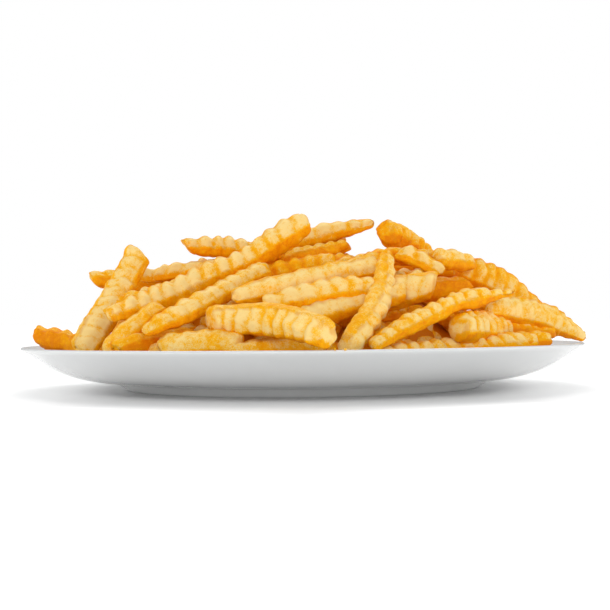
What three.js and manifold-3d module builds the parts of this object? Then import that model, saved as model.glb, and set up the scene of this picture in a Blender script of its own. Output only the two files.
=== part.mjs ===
// A portion of crinkle-cut french fries heaped on a round porcelain dinner plate.
//
// Millimetres, +Z up. The origin is at the middle of the plate's foot, on the table. The heap is one
// solid: a plain core in the dish, with every fry that shows fused on at its true size.

import * as THREE from 'three';
import { mergeVertices } from 'three/addons/utils/BufferGeometryUtils.js';
import Module from 'manifold-3d';

const wasm = await Module();
wasm.setup();

// Plate: a coupe dish on a low foot ring
const PLATE_RADIUS = 137;
const RIM_HEIGHT = 21.4;
const LIP_RADIUS = 1.5; // of the rounded edge
const LIP_START = -30; // degrees, where the outside runs into the lip
const LIP_END = 150;
const LIP_STEPS = 4;
const FOOT_RADIUS = 87.3; // outside of the foot where it stands
const FOOT_TOP_RADIUS = 92.3; // where the foot meets the dish
const FOOT_HEIGHT = 4.3;
const FOOT_WIDTH = 5;
const FOOT_INSIDE_SLOPE = 2;
const UNDERSIDE_HEIGHT = 2.2; // of the recess inside the foot
const WELL_RADIUS = 70; // flat middle of the dish
const WELL_HEIGHT = 6.4;
const OUTSIDE_CURVE = 2.2; // power of the rise from foot to lip
const INSIDE_CURVE = 2.4; // power of the rise from well to lip
const CURVE_STEPS = 5;
const PLATE_SIDES = 60;

// Heap
const GAP = 0.3; // air left between the food and the plate
const CLEARANCE = 0.5; // of a fry over the dish
const HEAP_RADIUS = 112; // the loose fries fill a half ellipsoid
const HEAP_TOP = 76;
const CORE_RADIUS = 94;
const CORE_TOP = 63;
const CORE_SIDES = 24;
const CORE_STEPS = 5;

// A fry
const RIDGE_PITCH = 6.9;
const RIDGE_DEPTH = 1.8; // from crest to valley
const PLAIN_STEPS = 2; // lengths that the smooth underside is bent in
const END_TAPER = 1.2; // how much a fry thins at its two ends
const TIP_LENGTH = 22; // that a slim tip narrows over
const CUT_LENGTH = 15; // that a sloping end is drawn out over
const TURN = Math.PI / 180;

// Loose fries that finish the sides and back, in layers that lie on each other
const SEED = 24;
const LAYERS = 6;
const LAYER_LOW = 18; // middle height of the lowest layer
const LAYER_STEP = 9;
const LAYER_SPACING = 42; // round a layer's edge, between the middles of its fries
const LAYER_UNEVEN = 2; // how far a fry is above or below its layer
const FRONT_INSET = 0.22; // the front of a layer keeps back behind the placed fries
const FRONT_LIMIT = -0.6; // sine of the angle past which only placed fries show
const LOOSE_WIDE = [8.5, 11];
const LOOSE_THICK = [7.5, 9.5];
const LOOSE_TIP = [0.65, 1];
const LOOSE_HALF = [26, 42]; // half a loose fry's length
const ALONG_SHARE = 0.7; // of the fries that lie along their layer's edge
const ALONG_TURN = [-30, 30]; // degrees from the layer's edge
const ACROSS_TURN = [55, 125];
const UNEVEN_RISE = 0.16; // slope of a loose fry, either way
const OUTER_DROOP = 0.25; // most that a fry's outer end hangs down, by its length
const OUTWARD_LEAN = 1.2; // most that a ridged face leans out of the heap
const TOP_FRIES = 12; // that lie across the top
const TOP_HEIGHT = 61;
const TOP_UNEVEN = 3;
const TOP_HALF = [26, 40];
const TOP_ACROSS = [-38, 38]; // where the middles of the top fries are
const TOP_BACK = [0, 44];
const PLACED_ROOM = 8; // a loose fry nearer than this to a placed one is left out
const SETTLE_ROUNDS = 30;
const FRY_RADIUS = 4.2; // room that a fry needs round its middle line

// Colours
const PORCELAIN = 0xe9ebec;
const FRIED_POTATO = 0xeeb24a;

// A fry has its two ends, the offset of its middle from the straight line between them, the way its
// ridged face looks, its width and its thickness. Its shape can also have shallower ridges, slim tips,
// as shares of the whole, and ends cut at a slope across the fry's width and thickness.
function fry(start, end, bow, face, wide, thick, shape = {}) {
  return {
    start: new THREE.Vector3(...start),
    end: new THREE.Vector3(...end),
    bow: new THREE.Vector3(...bow),
    face: new THREE.Vector3(...face),
    wide,
    thick,
    ridge: 1,
    tips: [1, 1],
    startCut: [0, 0],
    endCut: [0, 0],
    ...shape,
  };
}

// The fries in view from the front
const PLACED_FRIES = [
  // left end of the heap
  fry([-127, -22, 26.3], [-72, -56, 18], [0, 0, 0], [0, 0.15, 1], 10.5, 12, {
    ridge: 0.8,
    tips: [1, 0.8],
    startCut: [0, -0.6],
  }),
  fry([-99, -66, 20], [-78, -24, 67], [1, 0, -1], [0, -1, 0.2], 13, 9.5, { ridge: 0.7, endCut: [-0.6, 0] }),
  fry([-104, 0, 53.5], [-44, 8, 49], [0, 0, 1], [0, -0.15, 1], 10.5, 10, { ridge: 0.8, startCut: [0, -0.7] }),
  fry([-80, -6, 55.5], [-36, -13, 56.5], [0, 0, 0], [0, -0.7, 1], 9.5, 7.5),
  fry([-72, -14, 56.5], [-22, -4, 61.5], [0, 0, 0], [0, -0.7, 1], 10, 9),
  fry([-83, -93, 17], [-60, -84, 36.5], [0, 0, 1], [-0.4, -0.8, 0.5], 12.5, 10, {
    ridge: 0.4,
    tips: [0.9, 0.75],
  }),
  // top row
  fry([-57, -8, 70], [-8, 12, 65], [0, 0, 1], [0, -1, 1], 10.5, 11, {
    tips: [0.85, 1],
    startCut: [0.6, -0.6],
  }),
  fry([-84, -77, 35.5], [1.5, -46, 77.5], [0, 0, -3.5], [0, -1, 1], 12, 11.5, {
    tips: [0.8, 1],
    endCut: [0, 0.5],
  }),
  fry([-20, -14, 67.5], [35.5, -6, 81.5], [0, 0, 0.5], [0, -1, 1], 10, 9.5, { tips: [1, 0.62] }),
  fry([-12, -28, 60], [23, -13, 70], [0, 0, 0], [0, 0, 1], 9.5, 9.5, { ridge: 0.5, tips: [1, 0.8] }),
  fry([40, -27, 75.5], [64.5, 4, 61], [0, 0, 1], [0.5, -0.6, 0.7], 12.5, 13, { ridge: 1.5 }),
  // middle
  fry([-38, -60, 49], [14, -62, 60], [0, 0, 0], [0, -1, 0.8], 9.5, 9, { ridge: 1.2 }),
  fry([-2, -48, 55], [38, -50, 61.5], [0, 0, 0], [0, -0.8, 1], 9.5, 8.5),
  fry([-29, -96, 43], [33, -74, 57], [0, 0, 0], [0, -1, 0.4], 11, 9, { ridge: 0.6, tips: [0.75, 1] }),
  fry([-16, -100, 39.5], [32, -88, 47], [0, 0, 1], [0, -1, 0.9], 11, 10),
  fry([-1, -104, 33.5], [44, -80, 45], [0, 0, 0], [0, -1, 0.8], 11, 10, { ridge: 0.4 }),
  fry([18, -119, 22.5], [36, -72, 61], [5, 0, -1], [1, -0.4, 0.1], 11, 10, { ridge: 0.6, tips: [1, 0.8] }),
  fry([-66, -104, 28.5], [-15.3, -67.5, 56.3], [0, 0, 0], [0, -1, 0.8], 10, 9, {
    ridge: 0.7,
    tips: [0.68, 1],
  }),
  fry([28, -58, 59], [58, -44, 61.5], [0, 0, 1], [0, -0.8, 1], 9.5, 8.5),
  fry([44, -56, 63.5], [63, -61, 54], [0, 0, 1], [0, -0.8, 1], 9.5, 9, { tips: [1, 0.8] }),
  fry([36, -72, 46], [54, -64, 54], [0, 0, 0], [0, -0.4, 1], 7, 5),
  fry([27, -76, 42.5], [58, -80, 48.5], [0, 0, 0], [0, -1, 0.2], 14.5, 11.5, { ridge: 0.7, tips: [1, 0.8] }),
  // front edge
  fry([-39, -100, 32.6], [9, -137.5, 27.2], [3.7, 3.5, 3.2], [0, -1, -0.1], 12.5, 12, {
    ridge: 0.9,
    startCut: [0, 0.9],
    endCut: [0, -0.5],
  }),
  fry([-78, -100, 22], [-48, -76, 26], [0, 0, 0], [0, -0.3, 1], 10.5, 10, { ridge: 0.4 }),
  fry([-64, -98, 19.5], [-30, -90, 23], [0, 0, 0], [0, -0.8, 1], 10, 9, { ridge: 0.3 }),
  fry([-58, -102, 22.5], [-25, -110, 23], [0, 0, 1], [0, -1, 0.6], 11.5, 9.5, { ridge: 0.3 }),
  fry([-30, -110, 20.5], [10, -102, 20], [0, 0, 1], [0, -0.8, 1], 10.5, 9, { ridge: 0.4 }),
  fry([8, -100, 19.5], [42, -104, 20.5], [0, 0, 0], [0, -0.8, 1], 10.5, 9),
  // right end of the heap
  fry([50, -46, 47], [77, -42, 48], [0, 0, 0], [0, -0.1, 1], 12, 10.5, { ridge: 0.3 }),
  fry([60.5, -52, 61], [79, -37, 60], [0, 0, 0], [0.3, -0.8, 1], 9.5, 9, { ridge: 0.7 }),
  fry([74, -32, 57.5], [118, -18, 33], [0, 0, 2.5], [0, -1, 0.5], 13.5, 10.5, { ridge: 0.9, tips: [1, 0.7] }),
  fry([28, -115, 22], [92.5, -73, 44.5], [-2, 0, 4], [0, -1, 1], 9, 9, { tips: [0.8, 0.5] }),
  fry([66, -96, 29.5], [92, -50, 27.5], [0, 0, 0], [0.8, -0.6, 0.5], 12.5, 14),
  fry([30, -110, 18.5], [103, -67, 22.5], [0, 0, 0], [0, -0.8, 1], 10.5, 9),
  fry([83, -67, 37], [134, -27, 23], [0, 0, 2], [0, -1, 0.35], 13, 9, {
    ridge: 0.5,
    tips: [0.9, 0.5],
    startCut: [-0.8, 0],
  }),
  fry([75, -80, 22], [109, -66, 24], [0, 0, 0], [0, -0.9, 0.8], 9, 8),
  fry([86, -62, 30], [116, -44, 27], [0, 0, 0], [0, -0.7, 1], 9, 8.5),
  // under the others, carrying them
  fry([-14, -7, 64], [22, -2, 73], [0, 0, 0], [0, 0, 1], 9, 8.5),
  fry([-90, -46, 40], [-34, -44, 54], [0, 0, 0], [0, 0, 1], 9, 8.5),
  fry([-70, -62, 37], [-8, -48, 64], [0, 0, 0], [0, 0, 1], 9, 8.5),
  fry([36, 14, 60], [90, -2, 55], [0, 0, 0], [0, 0, 1], 9, 8.5),
  fry([44, -26, 54], [110, -14, 34], [0, 0, 0], [0, 0, 1], 9, 8.5),
  // on the two sides of the core
  fry([88, -6, 30], [74, 48, 34], [5, 2, 0], [0.8, 0, 1], 10, 8.5),
  fry([77, -12, 42], [58, 45, 46], [4, 1, 1], [0.6, 0, 1], 9.5, 8.5),
  fry([-80, -44, 30], [-92, 14, 28], [-2, 0, 1], [-0.8, 0, 1], 10, 8.5),
  fry([-68, -32, 45], [-76, 16, 43], [-3, 0, 1], [-0.6, 0, 1], 9.5, 8.5),
];

// Random numbers from a seed, the same at each run
function randomSource(seed) {
  let state = seed;
  return (low, high) => {
    state = (state * 16807) % 2147483647;
    return low + ((high - low) * state) / 2147483647;
  };
}

function outsideHeight(radius) {
  const lipHeight = RIM_HEIGHT - LIP_RADIUS + LIP_RADIUS * Math.sin(LIP_START * TURN);
  const lipRadius = PLATE_RADIUS - LIP_RADIUS + LIP_RADIUS * Math.cos(LIP_START * TURN);
  const along = (radius - FOOT_TOP_RADIUS) / (lipRadius - FOOT_TOP_RADIUS);
  return FOOT_HEIGHT + (lipHeight - FOOT_HEIGHT) * along ** OUTSIDE_CURVE;
}

function dishHeight(radius) {
  const lipHeight = RIM_HEIGHT - LIP_RADIUS + LIP_RADIUS * Math.sin(LIP_END * TURN);
  const lipRadius = PLATE_RADIUS - LIP_RADIUS + LIP_RADIUS * Math.cos(LIP_END * TURN);
  if (radius > lipRadius) return RIM_HEIGHT;
  const along = Math.max(0, (radius - WELL_RADIUS) / (lipRadius - WELL_RADIUS));
  return WELL_HEIGHT + (lipHeight - WELL_HEIGHT) * along ** INSIDE_CURVE;
}

// Points on the inside of the dish from the lip's radius to the well's
function dishRadii(outer, steps) {
  const radii = [];
  for (let i = 0; i <= steps; i += 1) {
    radii.push(outer + ((WELL_RADIUS - outer) * i) / steps);
  }
  return radii;
}

function turned(points, sides) {
  const geometry = new THREE.LatheGeometry(points, sides);
  geometry.rotateX(Math.PI / 2);
  return geometry;
}

function plateGeometry() {
  const points = [
    new THREE.Vector2(0, UNDERSIDE_HEIGHT),
    new THREE.Vector2(FOOT_RADIUS - FOOT_WIDTH - FOOT_INSIDE_SLOPE, UNDERSIDE_HEIGHT),
    new THREE.Vector2(FOOT_RADIUS - FOOT_WIDTH, 0),
    new THREE.Vector2(FOOT_RADIUS, 0),
  ];
  const lipRadius = PLATE_RADIUS - LIP_RADIUS;
  const outer = lipRadius + LIP_RADIUS * Math.cos(LIP_START * TURN);
  for (let i = 0; i < CURVE_STEPS; i += 1) {
    const radius = FOOT_TOP_RADIUS + ((outer - FOOT_TOP_RADIUS) * i) / CURVE_STEPS;
    points.push(new THREE.Vector2(radius, outsideHeight(radius)));
  }
  for (let i = 0; i < LIP_STEPS; i += 1) {
    const angle = (LIP_START + ((LIP_END - LIP_START) * i) / LIP_STEPS) * TURN;
    const height = RIM_HEIGHT - LIP_RADIUS + LIP_RADIUS * Math.sin(angle);
    points.push(new THREE.Vector2(lipRadius + LIP_RADIUS * Math.cos(angle), height));
  }
  const inner = lipRadius + LIP_RADIUS * Math.cos(LIP_END * TURN);
  for (const radius of dishRadii(inner, CURVE_STEPS)) {
    points.push(new THREE.Vector2(radius, dishHeight(radius)));
  }
  points.push(new THREE.Vector2(0, WELL_HEIGHT));
  return turned(points, PLATE_SIDES);
}

// The core lies in the dish and rises to a dome under the fries
function coreGeometry() {
  const points = [new THREE.Vector2(0, WELL_HEIGHT + GAP)];
  for (const radius of dishRadii(CORE_RADIUS, 2).reverse()) {
    points.push(new THREE.Vector2(radius, dishHeight(radius) + GAP));
  }
  const edge = dishHeight(CORE_RADIUS) + GAP;
  for (let i = 1; i < CORE_STEPS; i += 1) {
    const angle = (i / CORE_STEPS) * (Math.PI / 2);
    const height = edge + (CORE_TOP - edge) * Math.sin(angle);
    points.push(new THREE.Vector2(CORE_RADIUS * Math.cos(angle), height));
  }
  points.push(new THREE.Vector2(0, CORE_TOP));
  return turned(points, CORE_SIDES);
}

// Middle line of a fry, a parabola through its bowed middle
function middleLine(item, along) {
  const point = item.start.clone().lerp(item.end, along);
  return point.addScaledVector(item.bow, 4 * along * (1 - along));
}

// How slim a fry is at a distance along it, as a share of its whole section
function slimness(item, length, distance) {
  const fromStart = Math.min(1, distance / TIP_LENGTH);
  const fromEnd = Math.min(1, (length - distance) / TIP_LENGTH);
  const [startTip, endTip] = item.tips;
  return (startTip + (1 - startTip) * fromStart) * (endTip + (1 - endTip) * fromEnd);
}

// The side of a fry is a strip with a wavy top. It is pushed out to the fry's width, then bent onto the
// middle line.
function fryGeometry(item) {
  const length = item.start.distanceTo(item.end);
  const half = item.thick / 2;
  const shape = new THREE.Shape();
  for (let i = 0; i <= PLAIN_STEPS; i += 1) {
    const along = i / PLAIN_STEPS;
    const low = -half + END_TAPER * (2 * along - 1) ** 4;
    if (i === 0) shape.moveTo(0, low);
    else shape.lineTo(length * along, low);
  }
  const waves = Math.round(length / RIDGE_PITCH);
  for (let i = 2 * waves; i >= 0; i -= 1) {
    const along = i / (2 * waves);
    const ridge = i % 2 === 0 ? -RIDGE_DEPTH * item.ridge : 0;
    shape.lineTo(length * along, half + ridge - END_TAPER * (2 * along - 1) ** 4);
  }
  const geometry = new THREE.ExtrudeGeometry(shape, { depth: item.wide, bevelEnabled: false });
  geometry.translate(0, 0, -item.wide / 2);

  const position = geometry.attributes.position;
  const vertex = new THREE.Vector3();
  for (let i = 0; i < position.count; i += 1) {
    vertex.fromBufferAttribute(position, i);
    const slim = slimness(item, length, vertex.x);
    const upward = vertex.y * slim;
    const sideways = vertex.z * slim;
    const startShare = Math.max(0, 1 - vertex.x / CUT_LENGTH);
    const endShare = Math.max(0, 1 - (length - vertex.x) / CUT_LENGTH);
    const startSlope = item.startCut[0] * sideways + item.startCut[1] * upward;
    const endSlope = item.endCut[0] * sideways + item.endCut[1] * upward;
    const along = (vertex.x + startShare * startSlope + endShare * endSlope) / length;
    const tangent = item.end.clone().sub(item.start);
    tangent.addScaledVector(item.bow, 4 - 8 * along).normalize();
    const normal = item.face.clone().addScaledVector(tangent, -item.face.dot(tangent)).normalize();
    const side = tangent.clone().cross(normal);
    const point = middleLine(item, along);
    point.addScaledVector(normal, upward).addScaledVector(side, sideways);
    position.setXYZ(i, point.x, point.y, point.z);
  }
  return geometry;
}

// Nearest points of two straight fries, as shares of their lengths, and the vector between them
function nearest(a, b) {
  const u = a.end.clone().sub(a.start);
  const v = b.end.clone().sub(b.start);
  const w = a.start.clone().sub(b.start);
  const uu = u.dot(u);
  const uv = u.dot(v);
  const vv = v.dot(v);
  const uw = u.dot(w);
  const vw = v.dot(w);
  const flat = uu * vv - uv * uv;
  let s = flat > 1e-6 ? THREE.MathUtils.clamp((uv * vw - vv * uw) / flat, 0, 1) : 0.5;
  const t = THREE.MathUtils.clamp((uv * s + vw) / vv, 0, 1);
  s = THREE.MathUtils.clamp((uv * t - uw) / uu, 0, 1);
  const between = w.addScaledVector(u, s).addScaledVector(v, -t);
  return { s, t, between };
}

// How far a fry is lifted so that none of it reaches into the dish
function liftOffDish(geometry) {
  const position = geometry.attributes.position;
  let lift = 0;
  for (let i = 0; i < position.count; i += 1) {
    const radius = Math.hypot(position.getX(i), position.getY(i));
    if (radius > PLATE_RADIUS + GAP) continue;
    lift = Math.max(lift, dishHeight(radius) + CLEARANCE - position.getZ(i));
  }
  return lift;
}

// A fry of uneven size, from its middle and the reach of its two halves
function unevenFry(random, middle, reach, face) {
  return fry(
    middle.clone().sub(reach).toArray(),
    middle.clone().add(reach).toArray(),
    [random(-2, 2), random(-2, 2), random(-1, 2)],
    face(),
    random(...LOOSE_WIDE),
    random(...LOOSE_THICK),
    { tips: [random(...LOOSE_TIP), random(...LOOSE_TIP)] },
  );
}

// A layer is as wide as the half ellipsoid is at its height
function layerEdge(height) {
  return HEAP_RADIUS * Math.sqrt(1 - (height / HEAP_TOP) ** 2);
}

// A loose fry lies near the edge of its layer, along it or pointing out of it
function looseFry(random, height, angle) {
  const half = random(...LOOSE_HALF);
  const turn = random(0, 1) < ALONG_SHARE ? random(...ALONG_TURN) : random(...ACROSS_TURN);
  const edge = layerEdge(height) * (1 - FRONT_INSET * Math.max(0, -Math.sin(angle)));
  const outward = half * Math.sin(turn * TURN);
  const sideways = half * Math.cos(turn * TURN);
  const radius = Math.sqrt(Math.max(0, edge ** 2 - sideways ** 2)) - Math.abs(outward);
  const out = new THREE.Vector3(Math.cos(angle), Math.sin(angle), 0);
  const reach = new THREE.Vector3(-Math.sin(angle), Math.cos(angle), 0).multiplyScalar(sideways);
  reach.addScaledVector(out, outward);
  reach.z = half * random(-UNEVEN_RISE, UNEVEN_RISE) - Math.sign(outward) * half * random(0, OUTER_DROOP);
  const middle = out.clone().multiplyScalar(Math.max(0, radius)).setZ(height);
  const face = () => [out.x * random(0, OUTWARD_LEAN), out.y * random(0, OUTWARD_LEAN), 1];
  return unevenFry(random, middle, reach, face);
}

// A fry across the top of the heap
function topFry(random, index) {
  const heading = ((index + random(-0.3, 0.3)) / TOP_FRIES) * Math.PI;
  const half = random(...TOP_HALF);
  const reach = new THREE.Vector3(Math.cos(heading), Math.sin(heading), random(-0.15, 0.15));
  reach.multiplyScalar(half);
  const height = TOP_HEIGHT + random(-TOP_UNEVEN, TOP_UNEVEN);
  const middle = new THREE.Vector3(random(...TOP_ACROSS), random(...TOP_BACK), height);
  const face = () => [random(-0.5, 0.5), random(-0.5, 0.5), 1];
  return unevenFry(random, middle, reach, face);
}

function looseFries() {
  const random = randomSource(SEED);
  const items = [];
  for (let layer = 0; layer < LAYERS; layer += 1) {
    const height = LAYER_LOW + layer * LAYER_STEP;
    const count = Math.round((2 * Math.PI * layerEdge(height)) / LAYER_SPACING);
    for (let i = 0; i < count; i += 1) {
      const angle = ((i + 0.5 * (layer % 2) + random(-0.2, 0.2)) / count) * 2 * Math.PI;
      const item = looseFry(random, height + random(-LAYER_UNEVEN, LAYER_UNEVEN), angle);
      if (Math.sin(angle) > FRONT_LIMIT) items.push(item);
    }
  }
  for (let i = 0; i < TOP_FRIES; i += 1) items.push(topFry(random, i));
  return items.filter((item) =>
    PLACED_FRIES.every((placed) => nearest(item, placed).between.length() > PLACED_ROOM),
  );
}

// Slides the loose fries apart until they no longer run through each other
function settle(items) {
  const all = [...PLACED_FRIES, ...items];
  for (let round = 0; round < SETTLE_ROUNDS; round += 1) {
    items.forEach((item, index) => {
      for (let k = 0; k < PLACED_FRIES.length + index; k += 1) {
        const other = all[k];
        const { s, t, between } = nearest(item, other);
        const distance = between.length();
        const overlap = 2 * FRY_RADIUS - distance;
        if (overlap <= 0 || distance < 1e-6) continue;
        const fixed = k < PLACED_FRIES.length;
        const push = between.multiplyScalar((fixed ? overlap : overlap / 2) / distance);
        item.start.addScaledVector(push, 1 - s);
        item.end.addScaledVector(push, s);
        if (fixed) continue;
        other.start.addScaledVector(push, t - 1);
        other.end.addScaledVector(push, -t);
      }
    });
  }
}

function solid(geometry) {
  geometry.deleteAttribute('normal');
  geometry.deleteAttribute('uv');
  const merged = mergeVertices(geometry);
  const mesh = new wasm.Mesh({
    numProp: 3,
    vertProperties: Float32Array.from(merged.attributes.position.array),
    triVerts: Uint32Array.from(merged.index.array),
  });
  return new wasm.Manifold(mesh);
}

function toGeometry(manifold) {
  const mesh = manifold.getMesh();
  const geometry = new THREE.BufferGeometry();
  geometry.setAttribute('position', new THREE.BufferAttribute(mesh.vertProperties, 3));
  geometry.setIndex(new THREE.BufferAttribute(mesh.triVerts, 1));
  geometry.computeVertexNormals();
  return geometry;
}

function heapGeometry() {
  const loose = looseFries();
  settle(loose);
  let heap = solid(coreGeometry());
  for (const item of [...PLACED_FRIES, ...loose]) {
    const geometry = fryGeometry(item);
    const lift = liftOffDish(geometry);
    heap = heap.add(solid(geometry.translate(0, 0, lift)));
  }
  const bodies = heap.decompose().sort((a, b) => b.volume() - a.volume());
  return toGeometry(bodies[0]);
}

function piece(name, geometry, colour, roughness) {
  const material = new THREE.MeshStandardMaterial({ color: colour, roughness, metalness: 0 });
  const mesh = new THREE.Mesh(geometry, material);
  mesh.name = name;
  return mesh;
}

const portion = new THREE.Group();
portion.add(piece('plate', toGeometry(solid(plateGeometry())), PORCELAIN, 0.2));
portion.add(piece('fries', heapGeometry(), FRIED_POTATO, 0.6));

export default portion;
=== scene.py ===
"""Looks for a portion of crinkle-cut french fries heaped on a round porcelain plate.

Lengths are millimetres, in the frame of the solids, until a mesh is made of them in metres.
"""

import math

import bpy
import numpy as np
from mathutils import Matrix, Vector


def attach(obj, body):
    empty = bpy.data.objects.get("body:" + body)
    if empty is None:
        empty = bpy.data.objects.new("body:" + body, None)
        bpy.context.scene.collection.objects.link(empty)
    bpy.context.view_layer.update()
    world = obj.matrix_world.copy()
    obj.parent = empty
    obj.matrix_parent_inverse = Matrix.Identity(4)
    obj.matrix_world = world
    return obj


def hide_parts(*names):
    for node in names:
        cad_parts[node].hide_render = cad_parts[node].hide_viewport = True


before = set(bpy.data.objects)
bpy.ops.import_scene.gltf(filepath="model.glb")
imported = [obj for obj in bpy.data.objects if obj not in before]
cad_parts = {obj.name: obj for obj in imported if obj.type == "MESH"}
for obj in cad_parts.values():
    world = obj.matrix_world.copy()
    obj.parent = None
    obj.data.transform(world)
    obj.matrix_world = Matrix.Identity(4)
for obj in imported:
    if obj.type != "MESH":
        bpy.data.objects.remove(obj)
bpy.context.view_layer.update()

MM = 0.001

# ---------------- camera
# The photograph's frame is 610 pixels square, and PIXELS_PER_MM is the scale at the plate's axis.
FRAME_PIXELS = 610
PIXELS_PER_MM = 2.007
CAMERA_DISTANCE = 613.0  # in front of the plate's axis
CAMERA_HEIGHT = 32.6
CAMERA_ROLL = 0.0096  # radians
HORIZON_PIXEL = 321.4
AXIS_PIXEL = 302.3
SENSOR_WIDTH = 36.0
CLIP = (0.01, 100.0)  # metres

# ---------------- light
ROUND_LIGHT = 0.43  # from every side
SIDE_LIGHT = 1.0  # more from the left and right
BACK_LIGHT = 0.1
TOP_LIGHT = 0.15
KEY = dict(direction=(0.0, -0.7, -1.0), strength=1.2, softness=50.0)
FILL = dict(direction=(0.0, 1.0, -0.06), strength=1.35, softness=60.0)
FLOOR_GLOW = 0.2  # painted light: glow of the table that it stands on, at the left and right, which lightens the shadow there
GLOW_EDGE = (70.0, 125.0)  # from the middle, where the glow starts and where it is whole
FRONT_GLOW = 0.5  # painted light: glow of the table in front of the plate
FRONT_EDGE = (165.0, 235.0)
FRONT_SPREAD = 0.6  # how much nearer that glow comes for each millimetre to the side
FLOOR_WHITE, FLOOR_ROUGH = 0.88, 0.9
FLOOR_REACH = 20000.0

# ---------------- plate
PLATE_RADIUS = 137.0
RIM_HEIGHT = 21.4
LIP_RADIUS = 0.8
LIP_START = math.radians(-30)
LIP_END = math.radians(150)
FOOT_RADIUS = 87.3
FOOT_TOP_RADIUS = 92.3
FOOT_HEIGHT = 4.3
FOOT_WIDTH = 5.0
FOOT_INSIDE_SLOPE = 2.0
FOOT_EDGE = 0.5  # rounding of the foot ring
FOOT_SLOPE_FROM = 0.12  # share of the foot's height where its straight outside starts
FOOT_STEPS = 5
UNDERSIDE_HEIGHT = 2.2
UNDERSIDE_RING = 3.0  # level ring inside the foot's slope
WELL_RADIUS = 70.0
WELL_HEIGHT = 6.4
OUTSIDE_CURVE = 2.2
INSIDE_CURVE = 2.4
PLATE_CURVE_STEPS = 28
LIP_STEPS = 12
PLATE_SIDES = 240

# ---------------- heap
CLEARANCE = 0.5  # of the fries over the dish and the rim
RIM_REACH = 0.3  # outside the rim, where they are still kept over it
HEAP_RADIUS = 112.0
HEAP_TOP = 76.0
CORE_RADIUS = 90.0
CORE_TOP = 57.0
CORE_BOTTOM = 7.4
CORE_HOLLOW_RADIUS = 30.0  # of the flat middle of its underside
CORE_GAP = 1.0  # over the dish
CORE_UNDER_STEPS = 6
CORE_STEPS = 22
CORE_SIDES = 96
CORE_LUMPS = ((11.0, 1.0, 5), (4.0, 0.5, 6))  # size, height and seed of each kind
CORE_LUMP_SHARE = 0.022  # of the core's size, for a height of 1
CORE_SMOOTH = (1.0, 7.0)  # over its lower edge, where the lumps start and where they are whole

# Shape of one fry
RIDGE_PITCH = 6.9
RIDGE_DEPTH = 1.5
RIDGE_UNEVEN = (0.95, 0.45)  # mean share of that depth, and how much it changes
RIDGE_DRIFT = 1.3  # how far a ridge strays along the fry
DRIFT_SIZES = (19.0, 9.0)  # stretch of the fry that all ridges, or one side of them, stray on
DEPTH_SIZE = 10.0
RIDGE_SKEW = (-0.2, 0.2)
RIDGE_VALLEY = 0.22  # how round a valley's bottom is
UNDER_RIDGES = (0.3, 0.8)  # share of the ridges' depth that the underside has
SIDE_RIDGES = 0.4  # and that the smooth sides have
CORNER_ROUND = 2.9  # of a fry's long edges
EDGE_ROUND = 2.2  # of the edges of its cut ends
EDGE_UNEVEN = 0.4
EDGE_SIZE = 2.5
END_RING = 0.35  # from the end to the ring next to it
MOST_INSET = 0.65  # share of the half size that a rounded end loses at most
MOST_CORNER = 0.7
MOST_VALLEY = 0.5
CROWN = 1.4  # how far a face's middle stands out
SWELL = 0.35  # of a fry over its box
END_TAPER = 1.2
WIDE_TAPER = 0.35  # share of that taper across the width
SLIM_UNEVEN = 0.08
SLIM_SIZE = 17.0
WANDER = 0.9  # how far the section strays from its line
WANDER_SIZE = 22.0
TIP_LENGTH = 22.0  # that a slim tip narrows over
CUT_LENGTH = 15.0  # that a sloping end is drawn out over
PAST_END = 0.1  # share of the length that a sloping end may stand past it
LEAN_LENGTH = 9.0  # that a plain end's slight slope is drawn out over
END_LEAN = (-0.5, 0.5)
TWIST = (-0.1, 0.1)  # radians, from the middle to an end
CUT_RING = 0.55  # size of the ring inside a cut face
CUT_BULGE = 0.2
LUMPS = ((9.0, 0.6, 10), (4.5, 0.42, 6), (2.2, 0.26, 7))  # size, height and seed of each kind
BLISTER_SIZE = 3.1
BLISTER_HEIGHT = 0.7
BLISTER_FROM = 0.45  # noise that a blister starts at
BLISTER_KIND = 8
SEED_STEP, SEED_START = 7919, 11  # of each fry's own random numbers
WARM_UP = 4  # first draws that are skipped, since those of near seeds are much alike
FAR = (0, 500)  # stretch of the noise that a fry starts at
LUMPS_FAR = (0, 900)
ASIDE = 40  # from one measure's line through the noise to another's

# Surface values, which the crust's colours come from
CUT_CREST, CUT_SIDE, CUT_RIM = 0.6, 0.45, 0.1  # of a cut face
END_RIM = 0.9  # crispness of a cut face's edge
END_RIM_WIDTH = 1.5
# painted shade: values that make the core dark all over, as shade between the fries
CORE_SHADE_LOOK = dict(crest=0.1, side=0.8, rim=0.2, under=1.0, tone=-0.6)

# Loose fries round the sides, at the back and on top
SEED = 24
LAYERS = 6
LAYER_LOW = 18.0
LAYER_STEP = 9.0
LAYER_SPACING = 42.0
LAYER_UNEVEN = 2.0
STEP_UNEVEN = (-0.2, 0.2)  # of the steps between the fries of a layer
FRONT_INSET = 0.22
FRONT_LIMIT = -0.6
LOOSE_WIDE = (8.5, 11.0)
LOOSE_THICK = (7.5, 9.5)
LOOSE_TIP = (0.65, 1.0)
LOOSE_HALF = (26.0, 42.0)
BOW_ASIDE = (-2.0, 2.0)
BOW_UP = (-1.0, 2.0)
ALONG_SHARE = 0.7
ALONG_TURN = (-30.0, 30.0)
ACROSS_TURN = (55.0, 125.0)
UNEVEN_RISE = 0.16
OUTER_DROOP = 0.25
OUTWARD_LEAN = 1.2
TOP_FRIES = 12
TOP_HEIGHT = 61.0
TOP_UNEVEN = 3.0
TOP_HALF = (26.0, 40.0)
TOP_ACROSS = (-38.0, 38.0)
TOP_BACK = (0.0, 44.0)
TOP_TURN = (-0.3, 0.3)  # share of the step between headings
TOP_RISE = (-0.15, 0.15)
TOP_LEAN = (-0.5, 0.5)
PLACED_ROOM = 8.0
SETTLE_ROUNDS = 30
FRY_RADIUS = 4.2
TINY = 1e-6

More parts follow.
